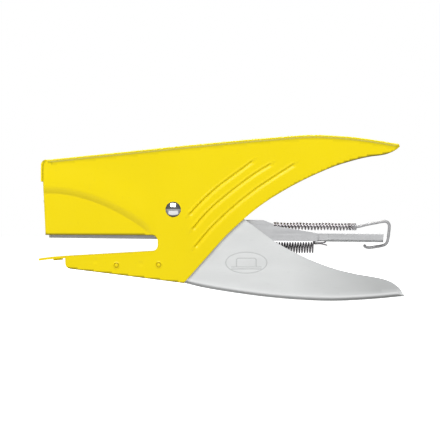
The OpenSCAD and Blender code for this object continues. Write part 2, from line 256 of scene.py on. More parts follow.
def bare_metal(name, colour, dark, rough, grain=900, stretch=(0.08, 1, 1), bump=0.1, metallic=1.0,
               latch_shade=False):
    """Plated or ground steel, its grain drawn out by stretch, with duller patches.

    Optionally, the latch's end of the wire turns a dull darker grey, barely metallic: painted shade.
    """
    material, nodes, links, shader = new_material(name)
    space = texture_space(nodes, links)
    drawn = texture_space(nodes, links, stretch)
    patch = remap(nodes, links, noise(nodes, links, space, 160, 4), 0, 1)
    streak = remap(nodes, links, noise(nodes, links, drawn, grain, 4), 0, 0.6)
    tone = blend_colour(nodes, links, patch, colour, tuple(c * 0.88 for c in colour))
    tone = blend_colour(nodes, links, streak, tone, dark)
    shader.inputs["Metallic"].default_value = metallic
    if latch_shade:
        # A dull darker grey, barely metallic, at the latch's start: painted shade.
        latch_shade_share = rise_along(nodes, links, space, LATCH_SHADE_SPAN, 1)
        tone = blend_colour(nodes, links, latch_shade_share, tone, (0.43, 0.43, 0.44))
        links.new(remap(nodes, links, latch_shade_share, metallic, 0.12, 0, 1), shader.inputs["Metallic"])
    links.new(tone, shader.inputs["Base Color"])
    polish = remap(nodes, links, noise(nodes, links, drawn, grain * 0.6, 3), rough * 0.85, rough * 1.25)
    links.new(polish, shader.inputs["Roughness"])
    add_bump(nodes, links, shader, noise(nodes, links, drawn, grain, 3), bump, 0.00005)
    return material


EVEN = (1, 1, 1)
MATERIALS = {
    "body_paint": yellow_paint(),
    "handle_satin": satin_grey(),
    "zinc_steel": bare_metal(
        "zinc_steel", (0.68, 0.685, 0.695), (0.58, 0.585, 0.595), 0.42, metallic=0.6),
    "blade_steel": bare_metal(
        "blade_steel", (0.40, 0.40, 0.42), (0.28, 0.28, 0.30), 0.26, 1400, (1, 1, 0.1)),
    "staple_wire": bare_metal(
        "staple_wire", (0.66, 0.67, 0.69), (0.5, 0.5, 0.52), 0.25, 1500, (1, 0.1, 1)),
    "spring_wire": bare_metal(
        "spring_wire", (0.46, 0.44, 0.45), (0.29, 0.27, 0.29), 0.17, 1500, EVEN, 0.05, latch_shade=True),
    "bright_chrome": bare_metal(
        "bright_chrome", (0.90, 0.90, 0.91), (0.80, 0.80, 0.82), 0.09, 700, EVEN, 0.02),
}


# ---------------------------------------------------------------- mesh helpers

def make_object(name, points, faces):
    """A new object from points in millimetres."""
    mesh = bpy.data.meshes.new(name)
    mesh.from_pydata([tuple(p) for p in np.asarray(points, float) * MM], [], faces)
    mesh.validate()
    piece = bpy.data.objects.new(name, mesh)
    bpy.context.scene.collection.objects.link(piece)
    return piece


def apply_modifiers(piece):
    graph = bpy.context.evaluated_depsgraph_get()
    mesh = bpy.data.meshes.new_from_object(piece.evaluated_get(graph))
    piece.modifiers.clear()
    piece.data = mesh


def smooth(piece, angle=35):
    piece.data.polygons.foreach_set("use_smooth", [True] * len(piece.data.polygons))
    piece.data.set_sharp_from_angle(angle=math.radians(angle))


def outward(piece):
    """Turns the faces of a closed piece outwards."""
    shape = bmesh.new()
    shape.from_mesh(piece.data)
    bmesh.ops.recalc_face_normals(shape, faces=shape.faces)
    shape.to_mesh(piece.data)
    shape.free()


def finish_piece(piece, node):
    """Gives a piece the material and slot of the CAD node that it stands for."""
    piece.data.materials.clear()
    piece.data.materials.append(MATERIALS[SLOT_OF[node]])
    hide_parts(node)


def add_shades(piece, shades):
    """Stores named values between 0 and 1 on a piece's corners, for its material to read."""
    for title, shade in shades.items():
        values = piece.data.attributes.new(title, "FLOAT", "POINT")
        values.data.foreach_set("value", np.asarray(shade, np.float32))


def tube_faces(count, sides):
    """The faces of a closed tube made of count rings."""
    faces = []
    for i in range(count - 1):
        for k in range(sides):
            a, b = i * sides + k, i * sides + (k + 1) % sides
            faces.append((a, b, b + sides, a + sides))
    last = (count - 1) * sides
    return faces + [tuple(range(sides - 1, -1, -1)), tuple(range(last, last + sides))]


def sweep(name, points, radius, sides=12):
    """A round wire along points in space, with rounded ends."""
    points = np.asarray(points, float)
    tangents = np.gradient(points, axis=0)
    tangents /= np.linalg.norm(tangents, axis=1)[:, None]
    side = np.cross(tangents[0], [0, 1, 0] if abs(tangents[0][1]) < 0.8 else [1, 0, 0])
    rings = []
    angles = np.arange(sides) * 2 * math.pi / sides

    def ring(centre, tangent, size):
        nonlocal side
        side = side - tangent * side.dot(tangent)
        side = side / np.linalg.norm(side)
        other = np.cross(tangent, side)
        return centre + size * (np.outer(np.cos(angles), side) + np.outer(np.sin(angles), other))

    for share in (0.35, 0.8):
        centre = points[0] - tangents[0] * radius * (1 - share) * 0.8
        rings.append(ring(centre, tangents[0], radius * share))
    for point, tangent in zip(points, tangents):
        rings.append(ring(point, tangent, radius))
    for share in (0.8, 0.35):
        centre = points[-1] + tangents[-1] * radius * (1 - share) * 0.8
        rings.append(ring(centre, tangents[-1], radius * share))
    piece = make_object(name, np.concatenate(rings), tube_faces(len(rings), sides))
    outward(piece)
    smooth(piece, 50)
    return piece


def curve_piece(corners, steps):
    """Points from the second to the third of four corners, on the smooth curve through them all."""
    a, b, c, d = corners
    square, cube = 2 * a - 5 * b + 4 * c - d, 3 * b - a - 3 * c + d
    times = np.linspace(0, 1, steps, endpoint=False)
    return [0.5 * (2 * b + (c - a) * t + square * t ** 2 + cube * t ** 3) for t in times]


def spline(points, steps=8):
    """A smooth line through the points."""
    points = np.asarray(points, float)
    padded = np.vstack([2 * points[0] - points[1], points, 2 * points[-1] - points[-2]])
    line = []
    for i in range(1, len(padded) - 2):
        line.extend(curve_piece(padded[i - 1:i + 3], steps))
    line.append(points[-1])
    return np.array(line)


def lathe(name, profile, centre, side, steps=48):
    """A turned part with its axis along Y. The profile is radius and height out from the cheek."""
    points = []
    for radius, height in profile:
        for k in range(steps):
            a = 2 * math.pi * k / steps
            points.append((centre[0] + radius * math.cos(a), side * height, centre[1] + radius * math.sin(a)))
    piece = make_object(name, points, tube_faces(len(profile), steps))
    outward(piece)
    smooth(piece, 40)
    return piece


def joined(name, pieces):
    """Several pieces made into one object."""
    shape = bmesh.new()
    for piece in pieces:
        shape.from_mesh(piece.data)
        bpy.data.objects.remove(piece)
    mesh = bpy.data.meshes.new(name)
    shape.to_mesh(mesh)
    shape.free()
    result = bpy.data.objects.new(name, mesh)
    bpy.context.scene.collection.objects.link(result)
    return result


# The anvil's tongue bends down over this length, by this much at its tip
TONGUE_BEND = 11
TONGUE_DROP = 0.5


def curl_tip(shape):
    """Bends the front end of a plate down in an even curve."""
    front = min(v.co.x for v in shape.verts)
    for step in np.linspace(0.1, 1, 8):
        everything = shape.verts[:] + shape.edges[:] + shape.faces[:]
        place = (front + step * TONGUE_BEND * MM, 0, 0)
        bmesh.ops.bisect_plane(shape, geom=everything, plane_co=place, plane_no=(1, 0, 0))
    for v in shape.verts:
        share = max(1 - (v.co.x - front) / (TONGUE_BEND * MM), 0)
        v.co.z -= TONGUE_DROP * MM * share ** 2


def softened(node, width=0.12, angle=30, reshape=None):
    """A CAD node's own shape with its pressed edges rounded, riding on the node's body."""
    corners, triangles = welded(node)
    piece = make_object(node + "_soft", corners, triangles)
    shape = bmesh.new()
    shape.from_mesh(piece.data)
    bmesh.ops.dissolve_limit(shape, angle_limit=math.radians(1), verts=shape.verts, edges=shape.edges)
    if reshape:
        reshape(shape)
    bmesh.ops.recalc_face_normals(shape, faces=shape.faces)
    shape.to_mesh(piece.data)
    shape.free()
    bevel = piece.modifiers.new("bevel", "BEVEL")
    bevel.width = width * MM
    bevel.segments = 2
    bevel.limit_method = "ANGLE"
    bevel.angle_limit = math.radians(angle)
    bevel.use_clamp_overlap = True
    apply_modifiers(piece)
    smooth(piece, 25)
    even = piece.modifiers.new("even", "WEIGHTED_NORMAL")
    even.mode = "FACE_AREA"
    even.weight = 100
    even.keep_sharp = True
    apply_modifiers(piece)
    finish_piece(piece, node)
    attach(piece, BODY_OF[node])


# ---------------------------------------------------------------- reading the CAD's outlines

def welded(node):
    """Corners and triangles of a CAD node, in millimetres, with equal corners joined."""
    mesh = frame["nodes"][node].data
    mesh.calc_loop_triangles()
    places = np.round(np.array([v.co for v in mesh.vertices]) / MM, 3)
    seen = {}
    index = [seen.setdefault(tuple(p), len(seen)) for p in places]
    triangles = [tuple(index[i] for i in t.vertices) for t in mesh.loop_triangles]
    return np.array(list(seen)), [t for t in triangles if len(set(t)) == 3]


def outlines(node):
    """The closed lines round the node's near side face, outer one first, as places in the side view."""
    corners, triangles = welded(node)
    near = corners[:, 1].min()
    flat = [t for t in triangles if all(abs(corners[i][1] - near) < 0.01 for i in t)]
    count = {}
    for t in flat:
        for a, b in zip(t, t[1:] + t[:1]):
            key = (min(a, b), max(a, b))
            count[key] = count.get(key, 0) + 1
    step = {}
    for (a, b), n in count.items():
        if n == 1:
            step.setdefault(a, []).append(b)
            step.setdefault(b, []).append(a)
    loops = []
    left = set(step)
    while left:
        start = min(left)
        loop = [start]
        left.discard(start)
        while True:
            ahead = [v for v in step[loop[-1]] if v in left]
            if not ahead:
                break
            loop.append(ahead[0])
            left.discard(ahead[0])
        loops.append(corners[loop][:, [0, 2]])
    return sorted(loops, key=lambda p: -np.ptp(p[:, 0]))


def folded_points(node):
    """The side-view corners of the faces that cross the node from one side to the other."""
    corners, triangles = welded(node)
    low, high = corners[:, 1].min(), corners[:, 1].max()
    found = set()
    for t in triangles:
        ys = corners[list(t)][:, 1]
        if ys.max() > high - 0.01 and ys.min() < low + 0.01:
            found.update(tuple(corners[i][[0, 2]]) for i in t)
    return found


def closed(line):
    """The line with its first point repeated at its end."""
    return np.vstack([line, line[:1]])


def signed_area(loop):
    x, z = loop[:, 0], loop[:, 1]
    return 0.5 * np.sum(x * np.roll(z, -1) - np.roll(x, -1) * z)


def split_outline(node, is_fold):
    """The outer line of a folded part, anticlockwise, as its folded run and the free run that closes it."""
    loop = outlines(node)[0]
    if signed_area(loop) < 0:
        loop = loop[::-1]
    folded = folded_points(node)
    marks = [tuple(p) in folded and is_fold(p) for p in loop]
    start = next(i for i in range(len(loop)) if marks[i] and not marks[i - 1])
    loop = np.roll(loop, -start, axis=0)
    marks = marks[start:] + marks[:start]
    end = next(i for i in range(len(marks)) if not marks[i])
    run, free = loop[:end], loop[end:]
    tip = int(np.argmax(run[:, 0]))
    run = run[tip:] if tip < len(run) / 2 else run[:tip + 1]
    return run, free


def refined(line, longest, corner=22, uneven=2.5):
    """The line with long steps divided: along a smooth curve, except at corners and where straights begin."""
    line = np.asarray(line, float)
    steps = np.diff(line, axis=0)
    lengths = np.linalg.norm(steps, axis=1)
    cuts = [0]
    for i in range(1, len(steps)):
        turn = math.remainder(math.atan2(*steps[i]) - math.atan2(*steps[i - 1]), 2 * math.pi)
        ratio = lengths[i] / lengths[i - 1]
        if abs(math.degrees(turn)) > corner or not 1 / uneven < ratio < uneven:
            cuts.append(i)
    cuts.append(len(steps))
    result = []
    for first, last in zip(cuts[:-1], cuts[1:]):
        part = line[first:last + 1]
        padded = np.vstack([2 * part[0] - part[1], part, 2 * part[-1] - part[-2]])
        for i in range(1, len(padded) - 2):
            count = max(1, int(math.ceil(np.linalg.norm(padded[i + 1] - padded[i]) / longest)))
            result.extend(curve_piece(padded[i - 1:i + 3], count))
    result.append(line[-1])
    return np.array(result)


def line_distance(places, line):
    """Distance from each place to the nearest point of a line."""
    best = np.full(len(places), 1e9)
    for a, b in zip(line[:-1], line[1:]):
        d = b - a
        t = np.clip(((places - a) @ d) / max(d @ d, 1e-12), 0, 1)
        best = np.minimum(best, np.linalg.norm(places - a - t[:, None] * d, axis=1))
    return best


def across_line(places, line):
    """Signed distance from each place to a line, positive on the left of its direction."""
    best = np.full(len(places), 1e9)
    sign = np.ones(len(places))
    for a, b in zip(line[:-1], line[1:]):
        d = b - a
        t = np.clip(((places - a) @ d) / max(d @ d, 1e-12), 0, 1)
        gap = places - a - t[:, None] * d
        size = np.linalg.norm(gap, axis=1)
        nearer = size < best
        best[nearer] = size[nearer]
        sign[nearer] = np.sign(d[0] * gap[:, 1] - d[1] * gap[:, 0])[nearer]
    return sign * best


# How far the painted shade of a cut edge reaches into the sheet's face
RIM_WIDTH = 0.7


def cut_edge_shade(places, line):
    """How much painted shade each place gets from a cut edge: near 1 where it faces down, weaker elsewhere.
    """
    shade = np.zeros(len(places))
    for a, b in zip(line[:-1], line[1:]):
        downwards = (b - a)[0] / max(np.linalg.norm(b - a), 1e-9)
        near = 1 - line_distance(places, np.array([a, b])) / RIM_WIDTH
        shade = np.maximum(shade, near * np.interp(downwards, (0.75, 0.95), (0.3, 1)))
    return np.clip(shade, 0, 1)


def inside(places, loop):
    """Which places lie inside a closed line."""
    x, z = places[:, 0], places[:, 1]
    result = np.zeros(len(places), bool)
    for (x0, z0), (x1, z1) in zip(loop, np.roll(loop, -1, axis=0)):
        crosses = (z0 > z) != (z1 > z)
        with np.errstate(divide="ignore", invalid="ignore"):
            result ^= crosses & (x < (x1 - x0) * (z - z0) / (z1 - z0) + x0)
    return result


def grid(low, high, gap):
    """Places on a triangular grid."""
    xs = np.arange(low[0], high[0], gap)
    zs = np.arange(low[1], high[1], gap * 0.866)
    rows = [np.stack([xs + (gap / 2 if i % 2 else 0), np.full(len(xs), z)], 1) for i, z in enumerate(zs)]
    return np.concatenate(rows)


def ease(t):
    t = np.clip(t, 0, 1)
    return t * t * (3 - 2 * t)


def evened(depth, steps, rate=0.9):
    """Bend depths along a run, none of them growing faster than rate from one point to the next."""
    depth = depth.copy()
    for i in range(1, len(depth)):
        depth[i] = min(depth[i], depth[i - 1] + rate * steps[i - 1])
    for i in range(len(depth) - 2, -1, -1):
        depth[i] = min(depth[i], depth[i + 1] + rate * steps[i])
    return depth


# Longest steps along the outlines and round the holes, and the steps round each bend
OUTLINE_STEP = 1.6
HOLE_STEP = 0.6
BEND_STEPS = 7
# How far the lip over the nose stays inside the cheeks' faces
LIP_INSET = 0.3


def bend_depths(run, inwards, facing, radius):
    """How far each bend of a folded run reaches into the cheek, less where the cheek is narrow."""
    depth = []
    for place, direction in zip(run, inwards):
        reach = place + direction * np.arange(0.2, 3 * radius, 0.2)[:, None]
        gaps = line_distance(reach, facing) < 0.25
        near = np.argmax(gaps) if gaps.any() else len(reach)
        depth.append(min(radius, 0.11 * (near + 1)))
    return evened(np.array(depth), np.linalg.norm(np.diff(run, axis=0), axis=1))


def filling(boundary, holes, fine, coarse_gap, fine_gap):
    """Places inside the boundary and outside the holes, closer together where fine says so."""
    found = []
    for gap, wanted in ((coarse_gap, lambda p: ~fine(p)), (fine_gap, fine)):
        dots = grid(boundary.min(0), boundary.max(0), gap)
        dots = dots[inside(dots, boundary)]
        dots = dots[wanted(dots)]
        dots = dots[line_distance(dots, closed(boundary)) > gap * 0.55]
        for hole in holes:
            dots = dots[~inside(dots, hole)]
            dots = dots[line_distance(dots, closed(hole)) > gap * 0.5]
        found.append(dots)
    return found


def cheek_mesh(boundary, holes, dots):
    """Places and triangles that fill a cheek's outline in the side view."""
    loops = []
    total = 0
    for loop in [boundary] + holes:
        loops += [(total + i, total + (i + 1) % len(loop)) for i in range(len(loop))]
        total += len(loop)
    everything = [Vector(p) for p in np.vstack([boundary] + holes + dots)]
    flat, _, triangles, _, _, _ = geometry.delaunay_2d_cdt(everything, loops, [], 1, 1e-5)
    flat = np.array([tuple(p) for p in flat])
    triangles = np.array([tuple(t) for t in triangles])
    middles = flat[triangles].mean(1)
    keep = inside(middles, boundary)
    for hole in holes:
        keep &= ~inside(middles, hole)
    return flat, triangles[keep]


def bend_column(place, inward, depth, out):
    """A line of points across the fold: round the near bend, over the strip and round the far bend."""
    line = []
    for side in (-1, 1):
        arc = []
        for step in range(BEND_STEPS + 1):
            phi = math.pi / 2 * step / BEND_STEPS
            spot = place + inward * depth * (1 - math.sin(phi))
            arc.append((spot[0], side * (out - depth * (1 - math.cos(phi))), spot[1]))
        line += arc if side < 0 else arc[::-1]
    return line


def add_lip(points, faces, first, line, inner, outer):
    """A strip that carries the fold's middle on along a line, widening from inner to outer."""
    pair = (first, first + 1)
    for i, place in enumerate(line):
        reach = inner + (outer - inner) * ease((i - 1) / 5)
        here = len(points)
        points += [(place[0], -reach, place[1]), (place[0], reach, place[1])]
        faces.append((pair[0], pair[1], here + 1, here))
        pair = (here, here + 1)


def weld_shell(piece):
    """Joins equal corners of an open shell and turns its faces outwards."""
    shape = bmesh.new()
    shape.from_mesh(piece.data)
    bmesh.ops.remove_doubles(shape, verts=shape.verts, dist=0.02 * MM)
    bmesh.ops.recalc_face_normals(shape, faces=shape.faces)
    probe = max(shape.faces, key=lambda f: -f.calc_center_median().y)
    if probe.normal.y > 0:
        bmesh.ops.reverse_faces(shape, faces=shape.faces)
    shape.to_mesh(piece.data)
    shape.free()


def folded_part(name, node, is_fold, radius, sheet, relief, fine, mark, gaps, lip=None):
    """A sheet pressing folded along one edge: two cheeks, rounded bends and the strip between them.

    relief(places) is how far each place of a cheek stands out. fine(places) marks where the relief
    needs the second, closer one of the mesh gaps, and mark(places) how much painted shade each place
    gets. lip(place) picks the stretch of the folded run, if any, that has no bends of its own.
    """
    half = low_high(node)[1][1]
    run, free = split_outline(node, is_fold)
    front = run[:0]
    if lip is not None:
        is_lip = np.array([lip(p) for p in run])
        run, front = run[~is_lip], run[is_lip]
        front = front[:np.argmin(front[:, 1]) + 1]
    run = refined(run, OUTLINE_STEP)
    along = np.gradient(run, axis=0)
    along /= np.linalg.norm(along, axis=1)[:, None]
    inwards = np.stack([-along[:, 1], along[:, 0]], 1)
    facing = np.vstack([free, run[:1]] if len(front) else [run[-1:], free])
    depth = bend_depths(run, inwards, facing, radius)
    if len(front):
        depth = np.minimum(depth, 0.5 + np.linalg.norm(run - run[-1], axis=1) * 0.45)
    edge = run + inwards * depth[:, None]
    joint = edge[-1:]
    if len(front):
        corner = np.array([free[0][0], edge[-1][1]])
        joint = np.vstack([joint, corner + (0.55, -0.1), corner + (0.1, -0.7)])
    behind = refined(np.vstack([joint, free, edge[:1]]), OUTLINE_STEP)[1:-1]
    boundary = np.vstack([edge, behind])
    holes = [refined(closed(h), HOLE_STEP)[:-1] for h in outlines(node)[1:] if len(h) > 5]
    flat, triangles = cheek_mesh(boundary, holes, filling(boundary, holes, fine, *gaps))
    stand = relief(flat)
    points = []
    faces = []
    for side in (-1, 1):
        base = len(points)
        points += [(x, side * (half + h), z) for (x, z), h in zip(flat, stand)]
        for a, b, c in base + triangles:
            faces.append((a, b, c) if side < 0 else (a, c, b))
    base = len(points)
    for place, inward, bend, out in zip(run, inwards, depth, half + relief(edge)):
        points += bend_column(place, inward, bend, out)
    width = 2 * (BEND_STEPS + 1)
    for i in range(len(run) - 1):
        for a in range(base + i * width, base + (i + 1) * width - 1):
            faces.append((a, a + 1, a + width + 1, a + width))
    if len(front):
        middle = base + (len(run) - 1) * width + BEND_STEPS
        line = refined(np.vstack([run[-1:], front]), 0.7)[1:]
        add_lip(points, faces, middle, line, half - depth[-1], half - LIP_INSET)
    piece = make_object(name, points, faces)
    weld_shell(piece)
    places = np.array([(v.co.x, v.co.z) for v in piece.data.vertices]) / MM
    reach = line_distance(places, run) / radius
    # Painted light: rim shades cut edges, fold shades yellow bends and lights grey ones, mark shades pressed
    # lines.
    add_shades(piece, {
        "rim": cut_edge_shade(places, np.vstack([edge[-1:], behind, edge[:1]])),
        "fold": np.interp(reach, (0.3, 0.5, 0.85, 1.1), (0, 1, 1, 0)),
        "mark": mark(places)})
    thick = piece.modifiers.new("sheet", "SOLIDIFY")
    thick.thickness = sheet * MM
    thick.offset = -1
    apply_modifiers(piece)
    smooth(piece, 32)
    finish_piece(piece, node)
    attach(piece, BODY_OF[node])


# ---------------------------------------------------------------- the yellow body

BODY_BEND = 1.8
BODY_SHEET = 0.8
BODY_GAPS = (1.1, 0.32)
# The folded edge is the part of the outline this far above the pivot
BODY_FOLD = 12
NOSE_RADIUS = 2.28
RIB_DEPTH = 0.45
RIB_LIP = 0.15
RIB_LIP_GAIN = 1.9
RIB_LIP_REACH = 24
# The rib's section: places across it, and how far each stands out
RIB_STATIONS = [-1.5, -0.8, -0.3, 0.1, 0.5, 0.85, 1.5]
RIB_HEIGHTS = [0, -0.45 * RIB_DEPTH, -RIB_DEPTH, -RIB_DEPTH, 0.7 * RIB_LIP, RIB_LIP, 0]
ARCH_RISE = 0.62
ARCH_DROP = 0.36
ARCH_WIDTH = 3.4
ARCH_FADE = 13

# Three curved grooves fan out behind the rivet, from the jaw side up towards the spine
RIBS = [
    spline(from_pivot((6.8, -3.0), (13.4, 4.0), (20.0, 10.0), (28.0, 16.0), (36.4, 22.2))),
    spline(from_pivot((8.2, -9.6), (16.0, -0.6), (26.2, 8.2), (36.4, 15.8), (44.6, 20.8))),
    spline(from_pivot((9.2, -17.6), (17.0, -8.4), (26.2, 0.4), (36.4, 8.6), (45.0, 14.4), (55.0, 20.8))),
]
# A soft step sweeps over the head from its front edge down to the throat's end
ARCH = spline(from_pivot((-59, 8.9), (-50.5, 8.6), (-42.5, 7.2), (-34, 4.6), (-25, 0.6),
                         (-16, -4.6), (-10.2, -9.0), (-6.0, -13.0)))
# Two spot marks press into the jaw ahead of each anvil rivet
DENTS = from_pivot((-34.6, -23.0), (-14.4, -24.4))


def pressed_rib(places, rib):
    """A groove, steep above and gentle below, under a lip that grows towards the jaw."""
    from_low, from_high = [np.linalg.norm(places - end, axis=1) for end in (rib[0], rib[-1])]
    shape = np.interp(across_line(places, rib), RIB_STATIONS, RIB_HEIGHTS)
    lip = 1 + RIB_LIP_GAIN * (1 - ease(from_low / RIB_LIP_REACH))
    return np.where(shape > 0, shape * lip, shape) * ease(np.minimum(from_low, from_high) / 2.2)


def bulge(distance, half_width, height):
    """A rounded ridge over a line, from the distance to it."""
    return height * np.clip(1 - (distance / half_width) ** 2, 0, 1) ** 1.5


def steep_then_easy(t, bend=0.1):
    """A rise from 0 to 1 that is steepest near its foot, after a short bend."""
    t = np.clip(t, 0, 1)
    foot = bend * ease(t / bend) * (1 - (1 - bend) ** 1.7) / bend
    return np.where(t < bend, foot, 1 - (1 - t) ** 1.7)


def arch_side(places):
    """How far each place is above the arch line, and below zero under it."""
    heights = np.interp(places[:, 0], ARCH[:, 0], ARCH[:, 1])
    return np.sign(places[:, 1] - heights) * line_distance(places, ARCH)


def body_relief(places):
    stand = np.zeros(len(places))
    for rib in RIBS:
        stand += pressed_rib(places, rib)
    above = arch_side(places)
    step = (ARCH_RISE + ARCH_DROP) * steep_then_easy(above / ARCH_WIDTH + 0.5) - ARCH_DROP
    step -= ARCH_RISE * ease((above - ARCH_WIDTH / 2) / ARCH_FADE)
    stand += step * ease((ARCH[-1, 0] - 1 - places[:, 0]) / 7) * (places[:, 1] > ARCH[-1, 1] - 3)
    for dent in DENTS:
        stand -= bulge(np.linalg.norm(places - dent, axis=1), 1.6, 0.16)
    return stand


def body_fine(places):
    near = np.zeros(len(places), bool)
    for rib in RIBS:
        near |= line_distance(places, rib) < RIB_STATIONS[-1] + 0.3
    near |= line_distance(places, ARCH) < ARCH_WIDTH * 0.75
    for dent in DENTS:
        near |= np.linalg.norm(places - dent, axis=1) < 2.4
    return near


def make_body():
    nose_end = low_high("body_shell")[0][0] + NOSE_RADIUS
    folded_part(
        "body_skin", "body_shell", lambda p: p[1] > PIVOT[1] + BODY_FOLD, BODY_BEND, BODY_SHEET,
        body_relief, body_fine, lambda p: np.zeros(len(p)), BODY_GAPS, lambda p: p[0] < nose_end)


# ---------------------------------------------------------------- the grey lower handle

HANDLE_BEND = 2.6
HANDLE_SHEET = 0.85
HANDLE_GAPS = (1.3, 0.24)
# The folded edge is the part of the outline this far below the pivot
HANDLE_FOLD = 30
# The cheeks draw in towards the tip over this length, by this much
INSET_LENGTH = 48
INSET = 1.5
OVAL_CENTRE = from_pivot((32.7, -23.9))[0]
OVAL_SIZE = np.array([9.2, 4.7])
LINE_HALF_WIDTH = 0.36
LINE_DEPTH = 0.05


def oval(scale):
    a = np.linspace(0, 2 * math.pi, 73)
    return OVAL_CENTRE + np.stack([np.cos(a) * OVAL_SIZE[0] * scale, np.sin(a) * OVAL_SIZE[1] * scale], 1)


def emblem_lines():
    """An oval with a generic mark in it: a staple over the two lines of a sheet."""
    half_bracket = np.array([(-4.4, -1.6), (-4.4, 1.5), (-3.8, 2.0)])
    bracket = OVAL_CENTRE + np.vstack([half_bracket, half_bracket[::-1] * (-1, 1)])
    sheet = [OVAL_CENTRE + np.array([(-6.6, -1.9 - gap), (6.6, -1.9 - gap)]) for gap in (0, 0.9)]
    return [oval(1.0), bracket] + sheet


EMBLEM = emblem_lines()


def tip_inset(places):
    """The cheeks draw in towards the grip's end."""
    start = low_high("lower_handle")[1][0] - INSET_LENGTH
    return INSET * np.clip((places[:, 0] - start) / INSET_LENGTH, 0, 1) ** 2


def handle_relief(places):
    stand = -tip_inset(places)
    for line in EMBLEM:
        stand -= bulge(line_distance(places, line), LINE_HALF_WIDTH, LINE_DEPTH)
    return stand


def emblem_groove_shade(places):
    """The pressed lines get painted shade."""
    nearest = np.min([line_distance(places, line) for line in EMBLEM], axis=0)
    return np.clip(1 - nearest / LINE_HALF_WIDTH, 0, 1)


def handle_fine(places):
    return np.min([line_distance(places, line) for line in EMBLEM], axis=0) < 0.75


def make_handle():
    folded_part(
        "handle_skin", "lower_handle", lambda p: p[1] < PIVOT[1] - HANDLE_FOLD, HANDLE_BEND, HANDLE_SHEET,
        handle_relief, handle_fine, emblem_groove_shade, HANDLE_GAPS)


# ---------------------------------------------------------------- rivets, springs and wire

def make_pivot_rivet():
    """Domed heads on both cheeks, and the shank between them."""
    low, high = low_high("pivot_rivet")
    radius = (high[0] - low[0]) / 2
    cheek = low_high("body_shell")[1][1]
    top = high[1]
    rim = 0.1
    rise = top - cheek - rim
    ball = (radius ** 2 + rise ** 2) / (2 * rise)
    profile = [(2.4, cheek - 3.0), (2.4, cheek + 0.02), (radius * 0.97, cheek + 0.02), (radius, cheek + rim)]
    for share in np.linspace(0.96, 0.005, 14):
        reach = radius * share
        profile.append((reach, top - ball + math.sqrt(ball ** 2 - reach ** 2)))
    heads = [lathe("head", profile, PIVOT, side) for side in (-1, 1)]
    shank = [(2.45, -cheek + 2), (2.45, cheek - 2)]
    heads.append(lathe("shank", shank, PIVOT, 1))
    piece = joined("rivet_domes", heads)
    finish_piece(piece, "pivot_rivet")
    smooth(piece, 40)
    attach(piece, "frame")


def make_jaw_rivets():
    """Countersunk rivets, set flush with a ring pressed round each."""
    corners, _ = welded("anvil_rivets")
    cheek = low_high("body_shell")[1][1]
    xs = sorted(set(np.round(corners[:, 0], 1)))
    middle = (xs[0] + xs[-1]) / 2
    heads = []
    for group in (corners[corners[:, 0] < middle], corners[corners[:, 0] > middle]):
        centre = (group.max(0) + group.min(0))[[0, 2]] / 2
        section = [(1.15, -2.1), (1.15, -0.02), (1.7, 0.01), (1.55, 0.13), (1.25, 0.15),
                   (1.12, -0.2), (0.88, -0.2), (0.72, 0.14), (0.35, 0.25), (0.02, 0.27)]
        profile = [(radius, cheek + height) for radius, height in section]
        heads += [lathe("head", profile, centre, side, 32) for side in (-1, 1)]
    piece = joined("jaw_rivets", heads)
    # Darker in the pressed ring round each head: painted shade.
    ring_shade = [0.5 * (abs(v.co.y) < (cheek - 0.1) * MM) for v in piece.data.vertices]
    add_shades(piece, {"rim": ring_shade})
    finish_piece(piece, "anvil_rivets")
    smooth(piece, 40)
    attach(piece, "frame")


def helix(start, end, mean_radius, turns, wire_radius, closed_ends=1.5, steps=26):
    """Points on a coil from start to end, its end turns lying closer together."""
    start, end = np.asarray(start, float), np.asarray(end, float)
    axis = (end - start) / np.linalg.norm(end - start)
    length = np.linalg.norm(end - start)
    side = np.cross(axis, [0, 1, 0]) if abs(axis[1]) < 0.9 else np.array([1.0, 0, 0])
    side /= np.linalg.norm(side)
    other = np.cross(axis, side)
    turn = np.linspace(0, turns, int(turns * steps) + 1)
    open_turns = turns - 2 * closed_ends
    close = 2.05 * wire_radius
    gap = (length - 2 * wire_radius - 2 * closed_ends * close) / open_turns
    rates = np.where((turn < closed_ends) | (turn > turns - closed_ends), close, gap)
    along = wire_radius + np.concatenate([[0], np.cumsum((rates[1:] + rates[:-1]) / 2 * np.diff(turn))])
    along *= (length - wire_radius) / along[-1]
    angle = turn * 2 * math.pi
    around = np.outer(np.cos(angle), side) + np.outer(np.sin(angle), other)
    return start + np.outer(along, axis) + mean_radius * around


def at(place, y=0.0):
    return np.array([place[0], y, place[1]])


def on_rod(x):
    """The place on the rod's axis at a given X, or close to it."""
    return at(in_magazine(to_magazine((x, HOOK_AXIS[1]))[0], ROD_Z))


def make_follower_spring():
    """The long spring on the rod, sagging slightly in three waves."""
    low, high = low_high("pusher_spring")
    radius, wire, turns, sag = 1.5, 0.31, 25.5, 0.22
    start, end = on_rod(low[0]), on_rod(high[0])
    coil = helix(start, end, radius, turns, wire)
    along = (coil[:, 0] - start[0]) / (end[0] - start[0])
    coil[:, 2] -= sag * np.sin(along * 3 * math.pi) ** 2
    piece = sweep("follower_spring", coil, wire, 10)
    finish_piece(piece, "pusher_spring")
    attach(piece, "rod")
    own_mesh(piece)


# Where the return spring's coils begin and end, from its front hook, and their axis over their foot
RETURN_COILS = (9.4, 51.4)
RETURN_AXIS = 2.6
# The hole in the magazine's tab that the spring's rear loop goes through, along the magazine
TAB_HOLE = 66.9
TAB_HOLE_HEIGHT = 1.6


